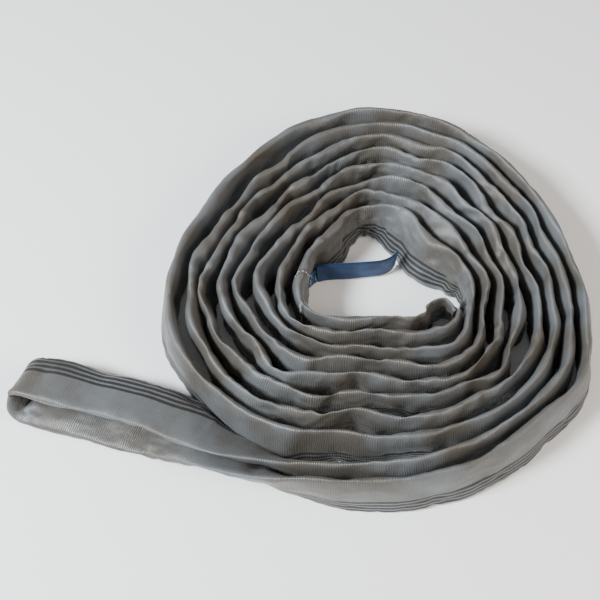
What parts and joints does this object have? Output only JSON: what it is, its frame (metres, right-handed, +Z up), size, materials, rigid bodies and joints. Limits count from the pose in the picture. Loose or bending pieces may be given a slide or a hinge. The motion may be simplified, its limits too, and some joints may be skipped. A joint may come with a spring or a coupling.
{
  "type": "round sling",
  "caption": "Endless woven-sleeve round sling with yarn core, doubled flat and rolled up on edge, its lifting eye left free beside the coil.",
  "frame": {"origin": "on the floor, under the middle of the whole sling's bounding box", "axes": "+X away from the free eye along the sling's longest side, +Z up from the floor it rests on"},
  "size_m": [0.5642, 0.446, 0.0602],
  "materials": {
    "sleeve_cloth": "woven polyester sleeve, light grey with black tracer lines, faintly glossy ribs",
    "core_yarn": "bundled continuous polyester yarn, off-white",
    "tape": "plain white woven tape",
    "label_cloth": "close-woven blue label tape, unprinted",
    "sewing_thread": "light polyester sewing thread"
  },
  "bodies": {
    "coil": {"sleeve_coil": "sleeve_cloth", "hank_coil": "core_yarn", "hank_end_tape": "tape", "sleeve_lap": "sleeve_cloth", "lap_stitches": "sewing_thread", "inner_label": "tape", "label_tab": "label_cloth", "tab_stitches": "sewing_thread"},
    "eye": {"sleeve_eye": "sleeve_cloth", "hank_eye": "core_yarn"},
    "label": {"label_leaf": "label_cloth", "label_cover": "label_cloth", "label_edge_stitches": "sewing_thread"}
  },
  "joints": [
    {"name": "eye_lift", "type": "hinge", "parent": "coil", "child": "eye", "pos_m": [-0.13465, -0.1426, 0.047], "axis": [0.2672, 0.9636, 0], "range_deg": [0, 35]},
    {"name": "label_flap", "type": "hinge", "parent": "coil", "child": "label", "pos_m": [0.01123, 0.02459, 0.018], "axis": [0, 0, 1], "range_deg": [-25, 3]}
  ]
}
